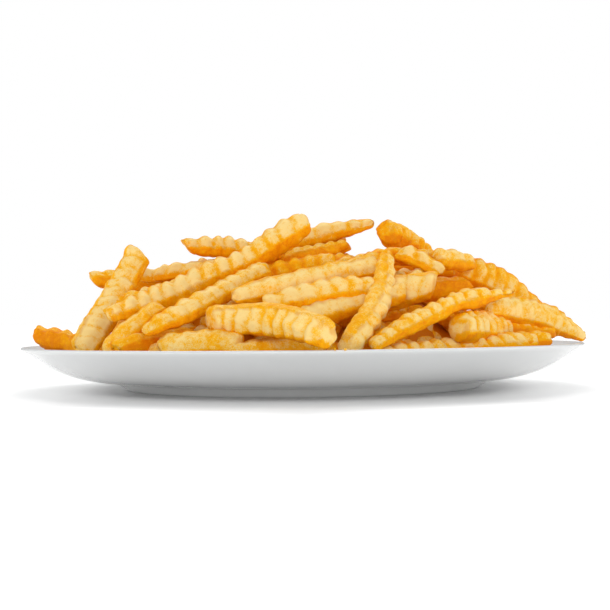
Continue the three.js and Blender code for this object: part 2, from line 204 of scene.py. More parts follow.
# Inner fries that show between the others, on the core
INNER_SEED = 71
INNER_LAYERS = 6
INNER_LOW = 14.0
INNER_STEP = 9.0
INNER_RADIUS = 93.0
INNER_TOP = 66.0
INNER_SPACING = 26.0
INNER_HALF = (18.0, 30.0)
INNER_ROOM = 5.5
INNER_ROUNDS = 8
FEWEST_INNER = 3  # in a layer

# Fries half sunk in the core, wherever it would show between the others
SUNK_SEED = 37
SUNK_TRIES = 2500
SUNK_LOWEST = 0.02  # share of the core's height
SUNK_HALF = (9.0, 22.0)
SUNK_OUT = -0.6  # how far their middle lines lie outside the core
SUNK_ROOM = 2.9  # from the other loose fries
SUNK_PLACED_ROOM = 5.6
SUNK_OWN_ROOM = 4.4  # from each other

# Crumbs
CRUMB_SEED = 909  # of where they lie
CRUMB_SEED_STEP, CRUMB_SEED_START = 31, 7  # of each crumb's own random numbers
CRUMB_APART = 3.7  # from one crumb's noise to the next one's
CRUMB_RINGS = 4
CRUMB_SIDES = 8
CRUMB_UNEVEN = 0.45
CRUMB_LUMP = 0.8  # size of its lumps, when the crumb itself is 1
CRUMB_CREST, CRUMB_RIM, CRUMB_SIDE = (0.1, 0.9), (0.1, 0.8), 0.3  # their surface values
CRUMB_WIDE = (0.5, 0.9)  # shares of their length
CRUMB_THICK = (0.4, 0.7)
CRUMB_SIZE = (0.35, 1.0)  # root of the share of the biggest one's size
BIGGEST_CRUMB = 1.3
CRUMB_LIMIT = PLATE_RADIUS - 6  # distance from the middle that they keep within
DISH_CRUMB_RISE = 0.35  # share of their size that their middles lie over the dish
RIM_CRUMB_RISE = 0.3

# Fineness of the fry meshes
FINE = dict(per_wave=8, wide_points=7, side_points=5, corner_points=2)
PLAIN = dict(per_wave=7, wide_points=5, side_points=4, corner_points=2)
COARSE = dict(per_wave=6, wide_points=4, side_points=3, corner_points=1)

# ---------------- colours and surfaces
CRUST_COLOURS = [
    # from deep orange to pale
    (0.0, (0.84, 0.255, 0.0004)),
    (0.25, (0.93, 0.355, 0.0005)),
    (0.45, (0.95, 0.42, 0.0005)),
    (0.58, (0.95, 0.46, 0.004)),
    (0.75, (0.95, 0.565, 0.095)),
    (1.0, (0.96, 0.69, 0.26)),
]
CRISP_COLOUR = (0.74, 0.28, 0.004)  # of edges fried crisp
CRISP_SHARE = 0.6
PAINTED_SHADE_COLOUR = (0.25, 0.06, 0.0005)  # painted shade, that the core is mixed with
PAINTED_SHADE_SHARE = 0.25
RIDGE_PALE = (0.46, 0.82)  # place among those colours of a valley and of a crest
SIDE_PALE = 0.42
# painted shade: how far the crust is darkened where it faces down
UNDER_PAINTED_SHADE = 0.35
PATCHES, MOTTLE, GRAIN, BROAD, TONE = 1.2, 0.9, 0.8, 0.8, 0.5  # how much each changes that place
PATCH_NOISE = (6.0, 3.0, 0.6)  # size, detail and roughness
MOTTLE_NOISE = (1.8, 3.0, 0.6)
GRAIN_NOISE = (0.45, 2.0, 0.7)
BROAD_NOISE = (22.0, 2.0, 0.5)
CREST_WHOLE = 0.8  # surface values that count as all crest, as side, as facing down for the painted shade, and as crisp
SIDE_EDGE = (0.3, 0.8)
UNDER_SHADE_EDGE = (0.45, 0.95)
CRISP_EDGE = (0.42, 0.65)
MOTTLE_EDGE = (0.3, 0.75)
CRUST_ROUGH = (0.45, 0.65)
CRUST_RELIEF = (0.9, 0.5)  # strength and depth
MOTTLE_RELIEF = 0.6  # share of the mottle in that relief, and the grain has the rest
CRUST_SPECULAR = 0.08
GLAZE_COOL = (0.67, 0.685, 0.69)
GLAZE_WARM = (0.70, 0.71, 0.705)
GLAZE_PAINTED_LIGHT = (0.88, 0.885, 0.88)  # painted light: glaze colour near the table, as if lit from below
GLAZE_PAINTED_LIGHT_EDGE = (5.0, 20.0)
GLAZE_ROUGH = (0.12, 0.2)
SMEAR_EDGE = (0.3, 0.7)
GLAZE_CLOUD, GLAZE_SMEAR, GLAZE_WAVE = 60.0, 35.0, 9.0  # sizes of its unevenness
GLAZE_RELIEF = (0.12, 0.2)
COAT, COAT_ROUGH = 0.6, 0.06


def vec(*values):
    return np.array(values, float)


class Fry:
    """A fry: its ends, the way its ridged face looks, its section, and the offset of its bowed middle.

    Its ridges can be shallower, its tips slim, as shares of the whole, and its ends cut at a slope
    across the width and the thickness. The tone is from 0, deep orange, to 1, pale, or drawn at random;
    a low tone also stands for painted shade on a fry that lies in the shade of others.
    """

    def __init__(self, start, end, face, wide, thick, bow=(0, 0, 0), ridge=1.0, tips=(1.0, 1.0),
                 start_cut=(0, 0), end_cut=(0, 0), tone=None):
        self.start, self.end = vec(*start), vec(*end)
        self.bow, self.face = vec(*bow), vec(*face)
        self.wide, self.thick = wide, thick
        self.ridge, self.tips, self.tone = ridge, tips, tone
        self.start_cut, self.end_cut = start_cut, end_cut

    @property
    def length(self):
        return float(np.linalg.norm(self.end - self.start))


PLACED_FRIES = [
    # left end of the heap
    Fry((-127, -22, 26.3), (-72, -56, 18), (0, 0.15, 1), 10.5, 12,
        ridge=0.8, tips=(1, 0.8), start_cut=(0, -0.6)),
    Fry((-99, -66, 20), (-78, -24, 67), (0, -1, 0.2), 13, 9.5, bow=(1, 0, -1), ridge=0.7, end_cut=(-0.6, 0)),
    Fry((-104, 0, 53.5), (-44, 8, 49), (0, -0.15, 1), 10.5, 10,
        bow=(0, 0, 1), ridge=0.8, start_cut=(0, -0.7)),
    Fry((-80, -6, 55.5), (-36, -13, 56.5), (0, -0.7, 1), 9.5, 7.5, tone=1),
    Fry((-72, -14, 56.5), (-22, -4, 61.5), (0, -0.7, 1), 10, 9, tone=1),
    Fry((-83, -93, 17), (-60, -84, 36.5), (-0.4, -0.8, 0.5), 12.5, 10,
        bow=(0, 0, 1), ridge=0.4, tips=(0.9, 0.75), tone=0.15),
    # top row
    Fry((-57, -8, 70), (-8, 12, 65), (0, -1, 1), 10.5, 11,
        bow=(0, 0, 1), tips=(0.85, 1), start_cut=(0.6, -0.6)),
    Fry((-84, -77, 35.5), (1.5, -46, 77.5), (0, -1, 1), 12, 11.5,
        bow=(0, 0, -3.5), tips=(0.8, 1), end_cut=(0, 0.5), tone=0.8),
    Fry((-20, -14, 67.5), (35.5, -6, 81.5), (0, -1, 1), 10, 9.5, bow=(0, 0, 0.5), tips=(1, 0.62), tone=0.9),
    Fry((-12, -28, 60), (23, -13, 70), (0, 0, 1), 9.5, 9.5, ridge=0.5, tips=(1, 0.8), tone=0.1),
    Fry((40, -27, 75.5), (64.5, 4, 61), (0.5, -0.6, 0.7), 12.5, 13, bow=(0, 0, 1), ridge=1.5, tone=0.2),
    # middle
    Fry((-38, -60, 49), (14, -62, 60), (0, -1, 0.8), 9.5, 9, ridge=1.2, tone=0.1),
    Fry((-2, -48, 55), (38, -50, 61.5), (0, -0.8, 1), 9.5, 8.5),
    Fry((-29, -96, 43), (33, -74, 57), (0, -1, 0.4), 11, 9, ridge=0.6, tips=(0.75, 1), tone=0.8),
    Fry((-16, -100, 39.5), (32, -88, 47), (0, -1, 0.9), 11, 10, bow=(0, 0, 1)),
    Fry((-1, -104, 33.5), (44, -80, 45), (0, -1, 0.8), 11, 10, ridge=0.4),
    Fry((18, -119, 22.5), (36, -72, 61), (1, -0.4, 0.1), 11, 10,
        bow=(5, 0, -1), ridge=0.6, tips=(1, 0.8), tone=0.8),
    Fry((-66, -104, 28.5), (-15.3, -67.5, 56.3), (0, -1, 0.8), 10, 9, ridge=0.7, tips=(0.68, 1), tone=0.7),
    Fry((28, -58, 59), (58, -44, 61.5), (0, -0.8, 1), 9.5, 8.5, bow=(0, 0, 1)),
    Fry((44, -56, 63.5), (63, -61, 54), (0, -0.8, 1), 9.5, 9, bow=(0, 0, 1), tips=(1, 0.8)),
    Fry((36, -72, 46), (54, -64, 54), (0, -0.4, 1), 7, 5),
    Fry((27, -76, 42.5), (58, -80, 48.5), (0, -1, 0.2), 14.5, 11.5, ridge=0.7, tips=(1, 0.8), tone=0.8),
    # front edge
    Fry((-39, -100, 32.6), (9, -137.5, 27.2), (0, -1, -0.1), 12.5, 12,
        bow=(3.7, 3.5, 3.2), ridge=0.9, start_cut=(0, 0.9), end_cut=(0, -0.5), tone=0.9),
    Fry((-78, -100, 22), (-48, -76, 26), (0, -0.3, 1), 10.5, 10, ridge=0.4, tone=0),
    Fry((-64, -98, 19.5), (-30, -90, 23), (0, -0.8, 1), 10, 9, ridge=0.3),
    Fry((-58, -102, 22.5), (-25, -110, 23), (0, -1, 0.6), 11.5, 9.5, bow=(0, 0, 1), ridge=0.3, tone=0.4),
    Fry((-30, -110, 20.5), (10, -102, 20), (0, -0.8, 1), 10.5, 9, bow=(0, 0, 1), ridge=0.4),
    Fry((8, -100, 19.5), (42, -104, 20.5), (0, -0.8, 1), 10.5, 9),
    # right end of the heap
    # tone 0 is painted shade: this fry lies in the shade of the fries over it
    Fry((50, -46, 47), (77, -42, 48), (0, -0.1, 1), 12, 10.5, ridge=0.3, tone=0),
    Fry((60.5, -52, 61), (79, -37, 60), (0.3, -0.8, 1), 9.5, 9, ridge=0.7),
    Fry((74, -32, 57.5), (118, -18, 33), (0, -1, 0.5), 13.5, 10.5, bow=(0, 0, 2.5), ridge=0.9, tips=(1, 0.7)),
    Fry((28, -115, 22), (92.5, -73, 44.5), (0, -1, 1), 9, 9, bow=(-2, 0, 4), tips=(0.8, 0.5), tone=0.7),
    Fry((66, -96, 29.5), (92, -50, 27.5), (0.8, -0.6, 0.5), 12.5, 14, tone=0.8),
    Fry((30, -110, 18.5), (103, -67, 22.5), (0, -0.8, 1), 10.5, 9),
    Fry((83, -67, 37), (134, -27, 23), (0, -1, 0.35), 13, 9,
        bow=(0, 0, 2), ridge=0.5, tips=(0.9, 0.5), start_cut=(-0.8, 0), tone=0.7),
    Fry((75, -80, 22), (109, -66, 24), (0, -0.9, 0.8), 9, 8),
    Fry((86, -62, 30), (116, -44, 27), (0, -0.7, 1), 9, 8.5, tone=0.2),
    # under the others, carrying them
    Fry((-14, -7, 64), (22, -2, 73), (0, 0, 1), 9, 8.5),
    Fry((-90, -46, 40), (-34, -44, 54), (0, 0, 1), 9, 8.5),
    Fry((-70, -62, 37), (-8, -48, 64), (0, 0, 1), 9, 8.5),
    Fry((36, 14, 60), (90, -2, 55), (0, 0, 1), 9, 8.5),
    Fry((44, -26, 54), (110, -14, 34), (0, 0, 1), 9, 8.5),
    # on the two sides of the core
    Fry((88, -6, 30), (74, 48, 34), (0.8, 0, 1), 10, 8.5, bow=(5, 2, 0)),
    Fry((77, -12, 42), (58, 45, 46), (0.6, 0, 1), 9.5, 8.5, bow=(4, 1, 1)),
    Fry((-80, -44, 30), (-92, 14, 28), (-0.8, 0, 1), 10, 8.5, bow=(-2, 0, 1)),
    Fry((-68, -32, 45), (-76, 16, 43), (-0.6, 0, 1), 9.5, 8.5, bow=(-3, 0, 1)),
]


# ---------------- randomness
FACTOR, MODULUS = 16807, 2147483647  # of the random source
CELL_FACTORS = (73856093, 19349663, 83492791)
SEED_FACTOR, MIX_FACTOR = 2654435761, 1274126177
LOW_32, LOW_16 = 0xFFFFFFFF, 0xFFFF  # the bits that are kept


def random_source(seed):
    """Random numbers from a seed, the same as those that the solids were made with."""
    state = seed

    def draw(low, high):
        nonlocal state
        state = (state * FACTOR) % MODULUS
        return low + (high - low) * state / MODULUS

    return draw


def lattice_value(cells, seed):
    """A number from 0 to 1 for each whole-numbered cell."""
    x, y, z = (cells[..., axis] * factor for axis, factor in enumerate(CELL_FACTORS))
    mixed = x ^ y ^ z ^ seed * SEED_FACTOR
    mixed = (mixed ^ (mixed >> 13)) * MIX_FACTOR & LOW_32
    mixed = (mixed ^ (mixed >> 16)) & LOW_16
    return mixed / LOW_16


def soft_noise(points, size, seed):
    """Smooth noise from -1 to 1 at the points, with lumps of that size."""
    scaled = np.asarray(points) / size
    cells = np.floor(scaled).astype(np.int64)
    inside = scaled - cells
    blend = inside * inside * (3 - 2 * inside)
    total = np.zeros(len(scaled))
    for corner in np.ndindex(2, 2, 2):
        weight = np.prod(np.where(corner, blend, 1 - blend), axis=1)
        total += weight * lattice_value(cells + corner, seed)
    return 2 * total - 1


# ---------------- where the fries lie
def nearest(a, b):
    """Nearest points of two straight fries, as shares of their lengths, and the vector between them."""
    u, v, w = a.end - a.start, b.end - b.start, a.start - b.start
    uu, uv, vv, uw, vw = u @ u, u @ v, v @ v, u @ w, v @ w
    flat = uu * vv - uv * uv
    s = min(max((uv * vw - vv * uw) / flat, 0), 1) if flat > TINY else 0.5
    t = min(max((uv * s + vw) / vv, 0), 1)
    s = min(max((uv * t - uw) / uu, 0), 1)
    return s, t, w + s * u - t * v


def distance(a, b):
    return np.linalg.norm(nearest(a, b)[2])


def uneven_fry(draw, middle, reach, face):
    """A fry of random size and bow. Its face is a function, since it may be drawn at random too."""
    bow = (draw(*BOW_ASIDE), draw(*BOW_ASIDE), draw(*BOW_UP))
    looks, wide, thick = face(), draw(*LOOSE_WIDE), draw(*LOOSE_THICK)
    tips = (draw(*LOOSE_TIP), draw(*LOOSE_TIP))
    return Fry(middle - reach, middle + reach, looks, wide, thick, bow, tips=tips)


def layer_edge(height, radius=HEAP_RADIUS, top=HEAP_TOP):
    """Radius at that height of a dome that the layers lie in."""
    return radius * math.sqrt(1 - (height / top) ** 2)


def loose_fry(draw, height, angle, edge, half_range=LOOSE_HALF):
    """A loose fry near the edge of its layer, along it or pointing out of it."""
    half = draw(*half_range)
    turn = math.radians(draw(*ALONG_TURN) if draw(0, 1) < ALONG_SHARE else draw(*ACROSS_TURN))
    outward, sideways = half * math.sin(turn), half * math.cos(turn)
    radius = math.sqrt(max(0, edge**2 - sideways**2)) - abs(outward)
    out = vec(math.cos(angle), math.sin(angle), 0)
    reach = vec(-math.sin(angle), math.cos(angle), 0) * sideways + out * outward
    reach[2] = half * draw(-UNEVEN_RISE, UNEVEN_RISE)
    reach[2] -= math.copysign(half * draw(0, OUTER_DROOP), outward)
    middle = out * max(0, radius)
    middle[2] = height

    def face():
        return out[0] * draw(0, OUTWARD_LEAN), out[1] * draw(0, OUTWARD_LEAN), 1

    return uneven_fry(draw, middle, reach, face)


def front_share(angle):
    """How much nearer the heap's middle a layer keeps on the side of the placed fries."""
    return 1 - FRONT_INSET * max(0, -math.sin(angle))


def top_fry(draw, index):
    """A fry that lies across the top of the heap, each one with another heading."""
    heading = (index + draw(*TOP_TURN)) / TOP_FRIES * math.pi
    half = draw(*TOP_HALF)
    reach = vec(math.cos(heading), math.sin(heading), draw(*TOP_RISE)) * half
    height = TOP_HEIGHT + draw(-TOP_UNEVEN, TOP_UNEVEN)
    middle = vec(draw(*TOP_ACROSS), draw(*TOP_BACK), height)
    return uneven_fry(draw, middle, reach, lambda: (draw(*TOP_LEAN), draw(*TOP_LEAN), 1))


def clear_of(item, others, room):
    return all(distance(item, other) > room for other in others)


def layer_angle(draw, index, layer, count):
    """Where round the heap a fry of a layer lies, half a step further in every second layer."""
    return (index + 0.5 * (layer % 2) + draw(*STEP_UNEVEN)) / count * 2 * math.pi


def loose_fries():
    """Fries in layers round the sides and the back, and on top, where no placed fry is near."""
    draw = random_source(SEED)
    items = []
    for layer in range(LAYERS):
        height = LAYER_LOW + layer * LAYER_STEP
        count = math.floor(2 * math.pi * layer_edge(height) / LAYER_SPACING + 0.5)
        for i in range(count):
            angle = layer_angle(draw, i, layer, count)
            own_height = height + draw(-LAYER_UNEVEN, LAYER_UNEVEN)
            edge = layer_edge(own_height) * front_share(angle)
            item = loose_fry(draw, own_height, angle, edge)
            if math.sin(angle) > FRONT_LIMIT:
                items.append(item)
    items += [top_fry(draw, i) for i in range(TOP_FRIES)]
    return [item for item in items if clear_of(item, PLACED_FRIES, PLACED_ROOM)]


def settle(items, fixed_items, rounds=SETTLE_ROUNDS):
    """Slides the items apart until they no longer run through each other or the fixed ones."""
    for _ in range(rounds):
        for index, item in enumerate(items):
            for k, other in enumerate([*fixed_items, *items[:index]]):
                s, t, between = nearest(item, other)
                apart = np.linalg.norm(between)
                overlap = 2 * FRY_RADIUS - apart
                if overlap <= 0 or apart < TINY:
                    continue
                fixed = k < len(fixed_items)
                push = between * ((overlap if fixed else overlap / 2) / apart)
                item.start += push * (1 - s)
                item.end += push * s
                if not fixed:
                    other.start += push * (t - 1)
                    other.end += push * -t


def inner_fries(outer):
    """Fries on the core, under the outer ones, kept where they don't run through them."""
    draw = random_source(INNER_SEED)
    items = []
    for layer in range(INNER_LAYERS):
        height = INNER_LOW + layer * INNER_STEP
        edge = layer_edge(height, INNER_RADIUS, INNER_TOP)
        count = max(FEWEST_INNER, round(2 * math.pi * edge / INNER_SPACING))
        for i in range(count):
            angle = layer_angle(draw, i, layer, count)
            items.append(loose_fry(draw, height, angle, edge, INNER_HALF))
    items = [item for item in items if clear_of(item, outer, INNER_ROOM)]
    settle(items, outer, INNER_ROUNDS)
    return [item for item in items if clear_of(item, outer, INNER_ROOM)]


def sunk_fry(draw):
    """A fry somewhere on the core's surface, half sunk in it."""
    rise, angle = math.asin(draw(SUNK_LOWEST, 1)), draw(0, 2 * math.pi)
    heading, half = draw(0, math.pi), draw(*SUNK_HALF)
    out, up = vec(math.cos(angle), math.sin(angle), 0), vec(0, 0, 1)
    around = vec(-math.sin(angle), math.cos(angle), 0)
    low = core_low()
    middle = out * CORE_RADIUS * math.cos(rise) + up * (low + (CORE_TOP - low) * math.sin(rise))
    normal = out * (CORE_TOP - low) * math.cos(rise) + up * CORE_RADIUS * math.sin(rise)
    normal /= np.linalg.norm(normal)
    reach = (around * math.cos(heading) + np.cross(normal, around) * math.sin(heading)) * half
    return uneven_fry(draw, middle + normal * SUNK_OUT, reach, lambda: normal)


def sunk_fries(loose_ones):
    """Sunk fries wherever there is room for them between the others."""
    draw = random_source(SUNK_SEED)
    items = []
    rooms = ((items, SUNK_OWN_ROOM), (PLACED_FRIES, SUNK_PLACED_ROOM), (loose_ones, SUNK_ROOM))
    for _ in range(SUNK_TRIES):
        item = sunk_fry(draw)
        if all(clear_of(item, others, room) for others, room in rooms):
            items.append(item)
    return items


# ---------------- the plate's shape
def lip_point(angle):
    """Radius and height of a point on the rim's lip."""
    radius = PLATE_RADIUS - LIP_RADIUS + LIP_RADIUS * math.cos(angle)
    return radius, RIM_HEIGHT - LIP_RADIUS + LIP_RADIUS * math.sin(angle)


def outside_height(radius):
    """Height of the plate's outer wall."""
    lip_radius, lip_height = lip_point(LIP_START)
    along = (radius - FOOT_TOP_RADIUS) / (lip_radius - FOOT_TOP_RADIUS)
    return FOOT_HEIGHT + (lip_height - FOOT_HEIGHT) * along**OUTSIDE_CURVE


def dish_height(radius):
    """Height of the dish's inside, for one radius or an array of them."""
    lip_radius, lip_height = lip_point(LIP_END)
    along = np.clip((radius - WELL_RADIUS) / (lip_radius - WELL_RADIUS), 0, 1)
    inside = WELL_HEIGHT + (lip_height - WELL_HEIGHT) * along**INSIDE_CURVE
    return np.where(np.asarray(radius) > lip_radius, RIM_HEIGHT, inside)


def core_low():
    """Height of the core's lower edge."""
    return float(dish_height(CORE_RADIUS)) + CORE_GAP


# ---------------- fry meshes
def section_points(wide_points, side_points, corner_points):
    """A rounded rectangle as places on a unit square, from -1 to 1, and the way out at each."""
    corner_angles = np.linspace(0, math.pi / 2, corner_points + 2)[1:-1]
    sides = [
        ([(u, 1) for u in np.linspace(-1, 1, wide_points)], (0, 1)),
        ([(1, v) for v in np.linspace(1, -1, side_points)], (1, 0)),
        ([(u, -1) for u in np.linspace(1, -1, wide_points)], (0, -1)),
        ([(-1, v) for v in np.linspace(-1, 1, side_points)], (-1, 0)),
    ]
    places, ways = [], []
    for index, (points, out) in enumerate(sides):
        places += points
        ways += [out] * len(points)
        turn_from = math.pi / 2 * (1 - index)
        for angle in corner_angles:
            places.append(points[-1])
            ways.append((math.cos(turn_from - angle), math.sin(turn_from - angle)))
    return np.array(places, float), np.array(ways, float)


def noise_field(x, y, z, size, seed):
    """Soft noise for arrays of coordinates, in the shape of the largest of them."""
    x, y, z = np.broadcast_arrays(x, y, z)
    return soft_noise(np.stack([x.ravel(), y.ravel(), z.ravel()], 1), size, seed).reshape(x.shape)


def ridge_wave(along, pitch):
    """1 on a ridge's broad round crest, 0 in the narrow valley between two."""
    wave = np.abs(np.sin(math.pi * along / pitch))
    raised = np.sqrt(wave**2 + RIDGE_VALLEY**2) - RIDGE_VALLEY
    return raised / (math.sqrt(1 + RIDGE_VALLEY**2) - RIDGE_VALLEY)


def tip_share(item, x):
    """How slim the fry is at x, where a tip narrows towards its end."""
    from_start = np.clip(x / TIP_LENGTH, 0, 1)
    from_end = np.clip((item.length - x) / TIP_LENGTH, 0, 1)
    start_tip, end_tip = item.tips
    return (start_tip + (1 - start_tip) * from_start) * (end_tip + (1 - end_tip) * from_end)


def bent(item, local, twist):
    """Points of a straight fry moved onto its bowed middle line, and the two ways across it there."""
    t = np.clip(local[:, 0:1] / item.length, -PAST_END, 1 + PAST_END)
    line = item.start + (item.end - item.start) * t + item.bow * 4 * t * (1 - t)
    tangent = (item.end - item.start) + item.bow * (4 - 8 * t)
    tangent /= np.linalg.norm(tangent, axis=1, keepdims=True)
    normal = item.face - tangent * (tangent @ item.face)[:, None]
    normal /= np.linalg.norm(normal, axis=1, keepdims=True)
    side = np.cross(tangent, normal)
    angle = twist * (2 * t - 1)
    turned_normal = normal * np.cos(angle) + side * np.sin(angle)
    turned_side = side * np.cos(angle) - normal * np.sin(angle)
    return line + turned_normal * local[:, 2:3] + turned_side * local[:, 1:2], turned_normal, turned_side


def tube_faces(rings, around):
    """Faces of a tube of rings, closed at both ends by a smaller ring and a middle point."""
    grid = np.arange(rings * around).reshape(rings, around)
    following = np.roll(grid, -1, axis=1)
    faces = np.stack([grid[:-1], grid[1:], following[1:], following[:-1]], 2).reshape(-1, 4).tolist()
    for row, first, step in ((0, rings * around, 1), (rings - 1, rings * around + around + 1, -1)):
        for k in range(around):
            j = (k + 1) % around
            faces.append([grid[row, k], grid[row, j], first + j, first + k][::step])
            faces.append([first + k, first + j, first + around][::step])
    return faces


class FryGrid:
    """Rings of points on a straight fry: how far along, the place on its section and the way out."""

    def __init__(self, item, per_wave, wide_points, side_points, corner_points):
        self.length = item.length
        waves = max(2, round(self.length / RIDGE_PITCH))
        self.pitch = self.length / waves
        stations = np.linspace(0, self.length, waves * per_wave + 1)
        stations = np.unique(np.concatenate([stations, [END_RING, self.length - END_RING]]))
        places, ways = section_points(wide_points, side_points, corner_points)
        self.rings, self.around = len(stations), len(places)
        every_ring = np.ones((self.rings, 1))
        self.x = stations[:, None] * np.ones(self.around)
        self.u, self.v = places[:, 0] * every_ring, places[:, 1] * every_ring
        self.out_y, self.out_z = ways[:, 0] * every_ring, ways[:, 1] * every_ring
        self.to_end = np.minimum(self.x, self.length - self.x)


def fry_ridges(grid, item, far, seed, draw):
    """Ridges of uneven pitch, slant and depth: 1 on a crest and 0 in a valley, and how deep they are."""
    skew = draw(*RIDGE_SKEW)
    drift = RIDGE_DRIFT * noise_field(far, 0, 0, DRIFT_SIZES[0], seed)
    drift = drift + RIDGE_DRIFT * noise_field(far, 5 * grid.u, grid.v, DRIFT_SIZES[1], seed + 1)
    shifted = grid.x + skew * grid.u * item.wide / 2 + drift
    top, bottom = ridge_wave(shifted, grid.pitch), ridge_wave(shifted + grid.pitch / 2, grid.pitch)
    mean, change = RIDGE_UNEVEN
    uneven = mean + change * noise_field(far, 4 * grid.v, 0, DEPTH_SIZE, seed + 2)
    depth = item.ridge * RIDGE_DEPTH * uneven * np.where(grid.v >= 0, 1.0, draw(*UNDER_RIDGES))
    return np.where(grid.v >= 0, top, bottom), depth


def fry_section(grid, item, far, seed, valley):
    """Places across the fry, with a section rounded towards the cut ends and slimmer at the tips."""
    u, v, x = grid.u, grid.v, grid.x
    rounding = EDGE_ROUND * (1 + EDGE_UNEVEN * noise_field(far / 20, 3 * u, 3 * v, EDGE_SIZE, seed + 9))
    inset = rounding - np.sqrt(rounding**2 - np.clip(rounding - grid.to_end, 0, None) ** 2)
    taper = END_TAPER * (2 * x / grid.length - 1) ** 4
    slim = tip_share(item, x) * (1 + SLIM_UNEVEN * noise_field(far, 0, ASIDE, SLIM_SIZE, seed + 3))
    half_wide = (item.wide / 2 + SWELL - WIDE_TAPER * taper) * slim
    half_thick = (item.thick / 2 + SWELL - taper) * slim
    inset = np.minimum(inset, MOST_INSET * np.minimum(half_wide, half_thick))
    half_wide = half_wide - inset - SIDE_RIDGES * valley * (v > 0)
    half_thick = half_thick - inset - np.minimum(valley, MOST_VALLEY * (half_thick - inset))
    corner = np.minimum(CORNER_ROUND, MOST_CORNER * np.minimum(half_wide, half_thick))
    y = u * (half_wide - corner) + (corner - 0.5 * CROWN * v**2) * grid.out_y
    z = v * (half_thick - corner) + (corner - CROWN * u**2) * grid.out_z
    y = y + WANDER * noise_field(far, 2 * ASIDE, 0, WANDER_SIZE, seed + 4)
    z = z + WANDER * noise_field(far, 0, 2 * ASIDE, WANDER_SIZE, seed + 5)
    return y, z


def sloped_ends(grid, item, y, z, draw):
    """How far along each point is, with both ends cut at a slope."""
    x, length = grid.x, grid.length
    leans = [draw(*END_LEAN) for _ in range(4)]
    for from_end, cut, lean in ((x, item.start_cut, leans[:2]), (length - x, item.end_cut, leans[2:])):
        cut_share = np.clip(1 - from_end / CUT_LENGTH, 0, 1)
        lean_share = np.clip(1 - from_end / LEAN_LENGTH, 0, 1) * (0 if any(cut) else 1)
        x = x + cut_share * (cut[0] * y + cut[1] * z) + lean_share * (lean[0] * y + lean[1] * z)
    return x


def with_cut_faces(grid, x, y, z):
    """The points of the rings, with those of the two cut faces after them, and the way out at each."""
    local = [np.stack([x, y, z], 2).reshape(-1, 3)]
    outward = [np.stack([0 * x, grid.out_y, grid.out_z], 2).reshape(-1, 3)]
    for row, sign in ((0, -1), (-1, 1)):
        ring = np.stack([x[row], y[row], z[row]], 1)
        middle = ring.mean(0)
        inner_ring = middle + (ring - middle) * CUT_RING
        local += [inner_ring + vec(CUT_BULGE * sign, 0, 0), middle[None] + vec(CUT_BULGE / 2 * sign, 0, 0)]
        outward.append(np.tile(vec(sign, 0, 0), (grid.around + 1, 1)))
    return np.vstack(local), np.vstack(outward)


def lump_heights(place, seed):
    """How far lumps and blisters stand out at the points."""
    heights = sum(height * soft_noise(place, size, seed + kind) for size, height, kind in LUMPS)
    blisters = np.clip(soft_noise(place, BLISTER_SIZE, seed + BLISTER_KIND) - BLISTER_FROM, 0, None)
    return heights + BLISTER_HEIGHT * blisters


def fry_mesh(item, seed, **fineness):
    """Vertices, faces and surface values of one crinkle-cut fry."""
    draw = random_source(seed * SEED_STEP + SEED_START)
    for _ in range(WARM_UP):
        draw(0, 1)
    grid = FryGrid(item, **fineness)
    far = grid.x + draw(*FAR)
    crest, depth = fry_ridges(grid, item, far, seed, draw)
    valley = depth * (1 - crest) * np.clip(grid.to_end / 2, 0, 1)
    y, z = fry_section(grid, item, far, seed, valley)
    x = sloped_ends(grid, item, y, z, draw)
    local, outward = with_cut_faces(grid, x, y, z)
    local = local + outward * lump_heights(local + draw(*LUMPS_FAR), seed)[:, None]
    vertices, up, across = bent(item, local, draw(*TWIST))

    # How far each point faces down, for the painted shade underneath on the crust
    looks_up = up[:, 2] * outward[:, 2] + across[:, 2] * outward[:, 1]
    edge = np.abs(grid.out_y * grid.out_z) * 2 + END_RIM * (grid.to_end < END_RIM_WIDTH)

    def with_ends(rings, cut_faces):
        return np.concatenate([rings.ravel(), np.full(2 * (grid.around + 1), cut_faces)])

    values = {
        "crest": with_ends(1 - min(1, item.ridge) * (1 - crest), CUT_CREST),
        "side": with_ends(np.abs(grid.out_y), CUT_SIDE),
        "rim": with_ends(np.clip(edge, 0, 1), CUT_RIM),
        "under": np.clip(0.5 - 0.5 * looks_up, 0, 1),
        "tone": np.full(len(vertices), draw(0, 1) if item.tone is None else item.tone),
    }
    return vertices, tube_faces(grid.rings, grid.around), values


def lifted_off_dish(vertices):
    """A fry's vertices, lifted where it would run into the dish or the rim."""
    radius = np.hypot(vertices[:, 0], vertices[:, 1])
    over = radius < PLATE_RADIUS + RIM_REACH
    if not over.any():
        return vertices
    lift = np.max(dish_height(radius[over]) + CLEARANCE - vertices[over, 2])
    return vertices + vec(0, 0, max(0, lift))


def make_object(name, vertices, faces, material, values=None):
    """A smooth mesh object in metres, with its surface values as attributes."""
    mesh = bpy.data.meshes.new(name)
    mesh.from_pydata((np.asarray(vertices) * MM).tolist(), [], faces)
    mesh.polygons.foreach_set("use_smooth", np.ones(len(mesh.polygons), bool))
    for key, numbers in (values or {}).items():
        attribute = mesh.attributes.new(key, "FLOAT", "POINT")
        attribute.data.foreach_set("value", np.asarray(numbers, np.float32))
    mesh.materials.append(material)
    mesh.update()
    piece = bpy.data.objects.new(name, mesh)
    bpy.context.scene.collection.objects.link(piece)
    return piece


def even_values(count, **amounts):
    """The same surface values all over."""
    return {key: np.full(count, amount) for key, amount in amounts.items()}


def joined(parts):
    """Several (vertices, faces, values) as one."""
    vertices, faces, values, first = [], [], {}, 0
    for part_vertices, part_faces, part_values in parts:
        vertices.append(part_vertices)
        faces += [[index + first for index in face] for face in part_faces]
        for key, numbers in part_values.items():
            values.setdefault(key, []).append(numbers)
        first += len(part_vertices)
    return np.vstack(vertices), faces, {key: np.concatenate(numbers) for key, numbers in values.items()}


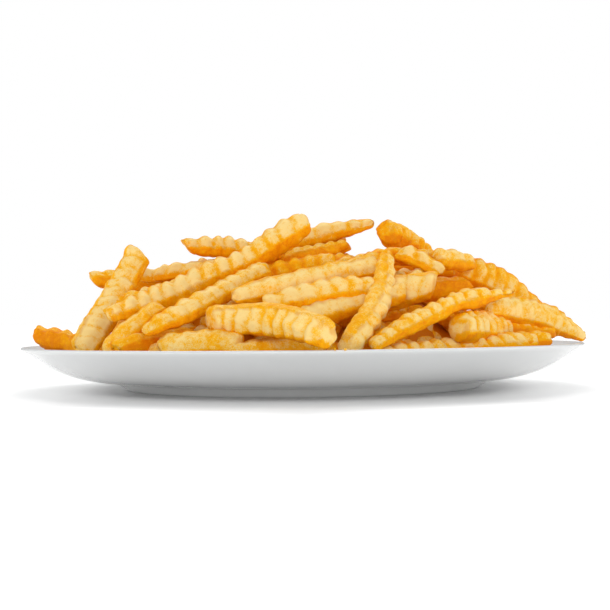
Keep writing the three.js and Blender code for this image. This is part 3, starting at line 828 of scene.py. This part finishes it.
def heap_piece(name, items, first_seed, fineness, material):
    """Many fries as one piece."""
    parts = []
    for index, item in enumerate(items):
        vertices, faces, values = fry_mesh(item, first_seed + index, **fineness)
        parts.append((lifted_off_dish(vertices), faces, values))
    vertices, faces, values = joined(parts)
    piece = make_object(name, vertices, faces, material, values)
    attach(piece, "root")
    return piece


# ---------------- turned shapes
def globe_faces(rings, sides):
    """Faces of a closed shape: a point, rings of points round it, and a point at the other end."""
    last = 1 + rings * sides
    faces = []
    for k in range(sides):
        j = (k + 1) % sides
        faces.append([0, 1 + j, 1 + k])
        for row in range(rings - 1):
            a, b = 1 + row * sides, 1 + (row + 1) * sides
            faces.append([a + k, a + j, b + j, b + k])
        faces.append([last, last - sides + k, last - sides + j])
    return faces


def turned(profile, sides):
    """Vertices and faces of a closed solid of revolution. The profile starts and ends on the axis."""
    profile = np.asarray(profile, float)
    angles = np.arange(sides) / sides * 2 * math.pi
    ring = np.stack([np.cos(angles), np.sin(angles)], 1)
    vertices = [vec(0, 0, profile[0, 1])[None]]
    for radius, height in profile[1:-1]:
        vertices.append(np.column_stack([ring * radius, np.full(sides, height)]))
    vertices.append(vec(0, 0, profile[-1, 1])[None])
    return np.vstack(vertices), globe_faces(len(profile) - 2, sides)


def plate_profile():
    """From the middle of the underside, out over the foot and lip, and in to the middle of the well."""
    foot_inside = FOOT_RADIUS - FOOT_WIDTH
    recess = foot_inside - FOOT_INSIDE_SLOPE
    points = [(0, UNDERSIDE_HEIGHT), (recess - UNDERSIDE_RING, UNDERSIDE_HEIGHT), (recess, UNDERSIDE_HEIGHT)]
    points += [(foot_inside - FOOT_EDGE, FOOT_EDGE), (foot_inside, 0), (FOOT_RADIUS - FOOT_EDGE, 0)]
    slope_radius = FOOT_TOP_RADIUS - FOOT_RADIUS
    for share in np.linspace(FOOT_SLOPE_FROM, 1, FOOT_STEPS):
        points.append((FOOT_RADIUS + slope_radius * share, FOOT_HEIGHT * share))
    outer = lip_point(LIP_START)[0]
    for share in np.linspace(0, 1, PLATE_CURVE_STEPS + 1)[1:-1]:
        radius = FOOT_TOP_RADIUS + (outer - FOOT_TOP_RADIUS) * share
        points.append((radius, outside_height(radius)))
    points += [lip_point(angle) for angle in np.linspace(LIP_START, LIP_END, LIP_STEPS)]
    inner = lip_point(LIP_END)[0]
    for share in np.linspace(0, 1, PLATE_CURVE_STEPS + 1)[1:]:
        radius = inner + (WELL_RADIUS - inner) * share
        points.append((radius, float(dish_height(radius))))
    points += [(WELL_RADIUS / 2, WELL_HEIGHT), (0, WELL_HEIGHT)]
    return points


def core_mesh():
    """A lumpy dome that fills the heap where no fry shows."""
    points = [(0, CORE_BOTTOM)]
    for radius in np.linspace(CORE_HOLLOW_RADIUS, CORE_RADIUS, CORE_UNDER_STEPS):
        points.append((radius, float(dish_height(radius)) + CORE_GAP))
    low = core_low()
    for angle in np.linspace(0, math.pi / 2, CORE_STEPS)[1:-1]:
        points.append((CORE_RADIUS * math.cos(angle), low + (CORE_TOP - low) * math.sin(angle)))
    points.append((0, CORE_TOP))
    vertices, faces = turned(points, CORE_SIDES)
    lumps = sum(height * soft_noise(vertices, size, seed) for size, height, seed in CORE_LUMPS)
    smooth, whole = CORE_SMOOTH
    above = np.clip((vertices[:, 2] - low - smooth) / (whole - smooth), 0, 1)
    vertices = vertices * (1 + CORE_LUMP_SHARE * (lumps * above)[:, None])
    return vertices, faces


# ---------------- crumbs
def crumb(centre, size, seed):
    """A small broken bit of crust."""
    tilts = np.linspace(0, math.pi, CRUMB_RINGS + 2)
    vertices, faces = turned([(math.sin(tilt), -math.cos(tilt)) for tilt in tilts], CRUMB_SIDES)
    far = vertices + seed * CRUMB_APART
    vertices *= 1 + CRUMB_UNEVEN * soft_noise(far, CRUMB_LUMP, seed)[:, None]
    draw = random_source(seed * CRUMB_SEED_STEP + CRUMB_SEED_START)
    vertices *= vec(size, size * draw(*CRUMB_WIDE), size * draw(*CRUMB_THICK))
    angle = draw(0, math.pi)
    cos, sin = math.cos(angle), math.sin(angle)
    vertices = vertices @ np.array([[cos, -sin, 0], [sin, cos, 0], [0, 0, 1]]).T + centre
    look = dict(crest=draw(*CRUMB_CREST), rim=draw(*CRUMB_RIM), tone=draw(0, 1))
    values = even_values(len(vertices), side=CRUMB_SIDE, under=CRUMB_SIDE, **look)
    return vertices, faces, values


CRUMB_AREAS = [
    # x range, y range and how many: on the dish at the right twice, left, in front and at the back
    ((106, 129), (-56, 14), 14),
    ((118, 131), (-14, 30), 16),
    ((-129, -116), (-44, -8), 9),
    ((-60, 60), (-130, -112), 10),
    ((-100, 100), (100, 126), 14),
]
RIM_CRUMBS = [((12.5, -136.4), 0.9), ((16.5, -136.0), 0.7), ((20.5, -135.4), 0.5)]


def crumbs():
    """All the crumbs on the dish and the rim as one."""
    draw = random_source(CRUMB_SEED)
    parts = []
    for x_range, y_range, count in CRUMB_AREAS:
        for _ in range(count):
            x, y, size = draw(*x_range), draw(*y_range), draw(*CRUMB_SIZE) ** 2 * BIGGEST_CRUMB
            radius = math.hypot(x, y)
            if radius > CRUMB_LIMIT:
                x, y = x * CRUMB_LIMIT / radius, y * CRUMB_LIMIT / radius
                radius = CRUMB_LIMIT
            height = float(dish_height(radius)) + size * DISH_CRUMB_RISE
            parts.append(crumb(vec(x, y, height), size, len(parts) + 1))
    for (x, y), size in RIM_CRUMBS:
        parts.append(crumb(vec(x, y, RIM_HEIGHT + size * RIM_CRUMB_RISE), size, len(parts) + 1))
    return joined(parts)


# ---------------- materials
class Nodes:
    """Short ways of adding shader nodes to one material."""

    def __init__(self, name):
        self.material = bpy.data.materials.new(name)
        self.material.use_nodes = True
        self.tree = self.material.node_tree
        self.shader = self.tree.nodes["Principled BSDF"]
        self.place = self.node("TexCoord").outputs["Object"]

    def node(self, kind):
        return self.tree.nodes.new("ShaderNode" + kind)

    def link(self, value, socket):
        if isinstance(value, (int, float)):
            socket.default_value = value
        elif isinstance(value, tuple):
            socket.default_value = (*value, 1.0)[: len(socket.default_value)]
        else:
            self.tree.links.new(value, socket)

    def surface(self, name, value):
        """Sets one of the surface's own inputs."""
        self.link(value, self.shader.inputs[name])

    def attribute(self, name):
        node = self.node("Attribute")
        node.attribute_name = name
        return node.outputs["Fac"]

    def axes(self):
        """The place's x, y and z in metres."""
        node = self.node("SeparateXYZ")
        self.link(self.place, node.inputs[0])
        return node.outputs

    def noise(self, size_mm, detail=2.0, rough=0.5):
        node = self.node("TexNoise")
        node.inputs["Scale"].default_value = 1 / (size_mm * MM)
        node.inputs["Detail"].default_value = detail
        node.inputs["Roughness"].default_value = rough
        self.link(self.place, node.inputs["Vector"])
        return node.outputs["Fac"]

    def math(self, operation, a, b=0.0, clamp=False):
        node = self.node("Math")
        node.operation = operation
        node.use_clamp = clamp
        self.link(a, node.inputs[0])
        self.link(b, node.inputs[1])
        return node.outputs[0]

    def remap(self, value, low, high, to_low=0.0, to_high=1.0):
        node = self.node("MapRange")
        node.interpolation_type = "SMOOTHSTEP"
        for socket, number in zip(node.inputs[:5], (value, low, high, to_low, to_high)):
            self.link(number, socket)
        return node.outputs[0]

    def mix(self, share, a, b):
        node = self.node("Mix")
        node.data_type = "RGBA"
        for socket, value in zip((node.inputs[0], node.inputs[6], node.inputs[7]), (share, a, b)):
            self.link(value, socket)
        return node.outputs[2]

    def mix_number(self, share, a, b):
        node = self.node("Mix")
        for socket, value in zip((node.inputs[0], node.inputs[2], node.inputs[3]), (share, a, b)):
            self.link(value, socket)
        return node.outputs[0]

    def ramp(self, value, stops):
        node = self.node("ValToRGB")
        elements = node.color_ramp.elements
        while len(elements) < len(stops):
            elements.new(0.5)
        for element, (position, colour) in zip(elements, stops):
            element.position = position
            element.color = (*colour, 1.0)
        self.link(value, node.inputs[0])
        return node.outputs[0]

    def bump(self, height, strength, depth_mm):
        node = self.node("Bump")
        node.inputs["Strength"].default_value = strength
        node.inputs["Distance"].default_value = depth_mm * MM
        self.link(height, node.inputs["Height"])
        return node.outputs["Normal"]


def fried_potato(name, shade_share=0.0):
    """Crisp crust: pale on the ridges, orange in the valleys and on the smooth sides, with painted shade
    where it faces down. A shade share mixes it all over with a dark colour, as painted shade.
    """
    n = Nodes(name)
    crest, side, rim, under, tone = (n.attribute(key) for key in ("crest", "side", "rim", "under", "tone"))
    patches, mottle = n.noise(*PATCH_NOISE), n.noise(*MOTTLE_NOISE)
    grain, broad = n.noise(*GRAIN_NOISE), n.noise(*BROAD_NOISE)

    ridged = n.remap(crest, 0.0, CREST_WHOLE, *RIDGE_PALE)
    pale = n.mix_number(n.remap(side, *SIDE_EDGE), ridged, SIDE_PALE)
    # painted shade: the crust is darkened where it faces down
    pale = n.math("SUBTRACT", pale, n.remap(under, *UNDER_SHADE_EDGE, 0.0, UNDER_PAINTED_SHADE))
    changes = ((patches, PATCHES), (mottle, MOTTLE), (grain, GRAIN), (broad, BROAD), (tone, TONE))
    for value, amount in changes:
        pale = n.math("ADD", pale, n.math("MULTIPLY", n.math("SUBTRACT", value, 0.5), amount))
    colour = n.ramp(pale, CRUST_COLOURS)
    crisp = n.math("MULTIPLY", rim, n.remap(patches, *CRISP_EDGE), clamp=True)
    colour = n.mix(n.math("MULTIPLY", crisp, CRISP_SHARE), colour, CRISP_COLOUR)
    # painted shade: mixed all over with a dark colour
    if shade_share:
        colour = n.mix(shade_share, colour, PAINTED_SHADE_COLOUR)
    n.surface("Base Color", colour)
    n.surface("Roughness", n.remap(mottle, *MOTTLE_EDGE, *CRUST_ROUGH))
    fine = n.math("MULTIPLY", grain, 1 - MOTTLE_RELIEF)
    relief = n.math("ADD", n.math("MULTIPLY", mottle, MOTTLE_RELIEF), fine)
    n.surface("Normal", n.bump(relief, *CRUST_RELIEF))
    n.surface("Specular IOR Level", CRUST_SPECULAR)
    return n.material


def porcelain():
    """White glaze, with painted light that makes it lighter near the table."""
    n = Nodes("porcelain")
    cloud = n.noise(GLAZE_CLOUD)
    # painted light: the glaze is made lighter towards the table
    low = n.remap(n.axes()[2], GLAZE_PAINTED_LIGHT_EDGE[0] * MM, GLAZE_PAINTED_LIGHT_EDGE[1] * MM, 1.0, 0.0)
    white = n.mix(cloud, GLAZE_COOL, GLAZE_WARM)
    n.surface("Base Color", n.mix(low, white, GLAZE_PAINTED_LIGHT))
    n.surface("Roughness", n.remap(n.noise(GLAZE_SMEAR), *SMEAR_EDGE, *GLAZE_ROUGH))
    n.surface("Normal", n.bump(n.noise(GLAZE_WAVE, 1.0), *GLAZE_RELIEF))
    n.surface("Coat Weight", COAT)
    n.surface("Coat Roughness", COAT_ROUGH)
    return n.material


def lit_floor():
    """A pale table with painted light: it glows at the left, at the right and in front of the plate, which
    lightens the shadow there and lights the plate from below.
    """
    n = Nodes("lit_floor")
    x, y, _ = n.axes()
    # painted light: the glow rises towards the sides and towards the front
    aside = n.math("ABSOLUTE", x)
    glow = n.remap(aside, GLOW_EDGE[0] * MM, GLOW_EDGE[1] * MM, 0.0, FLOOR_GLOW)
    before = n.math("SUBTRACT", n.math("MULTIPLY", aside, FRONT_SPREAD), y)
    glow = n.math("MAXIMUM", glow, n.remap(before, FRONT_EDGE[0] * MM, FRONT_EDGE[1] * MM, 0.0, FRONT_GLOW))
    n.surface("Base Color", (FLOOR_WHITE, FLOOR_WHITE, FLOOR_WHITE))
    n.surface("Roughness", FLOOR_ROUGH)
    n.surface("Specular IOR Level", 0.0)
    n.surface("Emission Color", (1.0, 1.0, 1.0))
    n.surface("Emission Strength", glow)
    return n.material


# ---------------- camera, light and floor
def make_camera():
    """A camera at the photograph's place, turned so that the horizon and the plate's axis fall as in it."""
    focal_pixels = PIXELS_PER_MM * CAMERA_DISTANCE
    middle = FRAME_PIXELS / 2
    forward = Vector(((middle - AXIS_PIXEL) / focal_pixels, 1.0, (HORIZON_PIXEL - middle) / focal_pixels))
    forward = forward.normalized()
    right = forward.cross(Vector((0, 0, 1))).normalized()
    up = right.cross(forward)
    rolled_right = right * math.cos(CAMERA_ROLL) - up * math.sin(CAMERA_ROLL)
    rolled_up = right * math.sin(CAMERA_ROLL) + up * math.cos(CAMERA_ROLL)
    turn = Matrix((rolled_right, rolled_up, -forward)).transposed().to_4x4()
    data = bpy.data.cameras.new("camera")
    data.sensor_width = SENSOR_WIDTH
    data.lens = focal_pixels / FRAME_PIXELS * SENSOR_WIDTH
    data.clip_start, data.clip_end = CLIP
    camera = bpy.data.objects.new("camera", data)
    camera.matrix_world = Matrix.Translation(Vector((0, -CAMERA_DISTANCE, CAMERA_HEIGHT)) * MM) @ turn
    bpy.context.scene.collection.objects.link(camera)
    bpy.context.scene.camera = camera


def make_sun(name, direction, strength, softness):
    data = bpy.data.lights.new(name, "SUN")
    data.energy = strength
    data.angle = math.radians(softness)
    sun = bpy.data.objects.new(name, data)
    sun.rotation_mode = "QUATERNION"
    sun.rotation_quaternion = Vector(direction).to_track_quat("-Z", "Y")
    bpy.context.scene.collection.objects.link(sun)


def make_world():
    """Soft light from all round, stronger from the sides, from above and from behind.

    The camera itself sees plain white.
    """
    world = bpy.data.worlds.new("studio")
    world.use_nodes = True
    tree = world.node_tree
    lit = tree.nodes["Background"]

    def math_node(operation, a, b):
        node = tree.nodes.new("ShaderNodeMath")
        node.operation = operation
        for socket, value in zip(node.inputs, (a, b)):
            if isinstance(value, float):
                socket.default_value = value
            else:
                tree.links.new(value, socket)
        return node.outputs[0]

    parts = tree.nodes.new("ShaderNodeSeparateXYZ")
    tree.links.new(tree.nodes.new("ShaderNodeTexCoord").outputs["Generated"], parts.inputs[0])
    x, y, z = parts.outputs
    sideways = math_node("MULTIPLY", x, x)
    strength = math_node("MULTIPLY", math_node("MULTIPLY", sideways, sideways), SIDE_LIGHT)
    for facing, amount in ((y, BACK_LIGHT), (z, TOP_LIGHT)):
        more = math_node("MULTIPLY", math_node("MAXIMUM", facing, 0.0), amount)
        strength = math_node("ADD", strength, more)
    tree.links.new(math_node("ADD", strength, ROUND_LIGHT), lit.inputs["Strength"])

    seen = tree.nodes.new("ShaderNodeBackground")
    mix = tree.nodes.new("ShaderNodeMixShader")
    for node in (lit, seen):
        node.inputs["Color"].default_value = (1, 1, 1, 1)
    tree.links.new(tree.nodes.new("ShaderNodeLightPath").outputs["Is Camera Ray"], mix.inputs[0])
    tree.links.new(lit.outputs[0], mix.inputs[1])
    tree.links.new(seen.outputs[0], mix.inputs[2])
    tree.links.new(mix.outputs[0], tree.nodes["World Output"].inputs["Surface"])
    bpy.context.scene.world = world


def make_stage():
    make_world()
    make_sun("key", **KEY)
    make_sun("fill", **FILL)
    corners = [(x * FLOOR_REACH, y * FLOOR_REACH, 0) for x, y in ((-1, -1), (1, -1), (1, 1), (-1, 1))]
    floor = make_object("floor", corners, [[0, 1, 2, 3]], lit_floor())
    bpy.context.scene.view_settings.view_transform = "Standard"


# ---------------- the whole
make_camera()
make_stage()

glaze = porcelain()
plate = make_object("plate_glazed", *turned(plate_profile(), PLATE_SIDES), glaze)
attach(plate, "root")
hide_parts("plate")

crust = fried_potato("fried_potato")
loose = loose_fries()
settle(loose, PLACED_FRIES)
inner = inner_fries([*PLACED_FRIES, *loose])

front = heap_piece("fries_front", PLACED_FRIES, 100, FINE, crust)
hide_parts("fries")
heap_piece("fries_around", loose, 300, PLAIN, crust)
heap_piece("fries_inside", inner, 500, PLAIN, crust)
heap_piece("fries_sunk", sunk_fries([*loose, *inner]), 700, COARSE, crust)

core_vertices, core_faces = core_mesh()
# painted shade: the core is coloured dark all over, as shade between the fries
core_values = even_values(len(core_vertices), **CORE_SHADE_LOOK)
shaded_crust = fried_potato("fried_inside_shaded", PAINTED_SHADE_SHARE)
core = make_object("heap_core", core_vertices, core_faces, shaded_crust, core_values)
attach(core, "root")

crumb_vertices, crumb_faces, crumb_values = crumbs()
crumb_piece = make_object("crumbs", crumb_vertices, crumb_faces, crust, crumb_values)
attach(crumb_piece, "root")
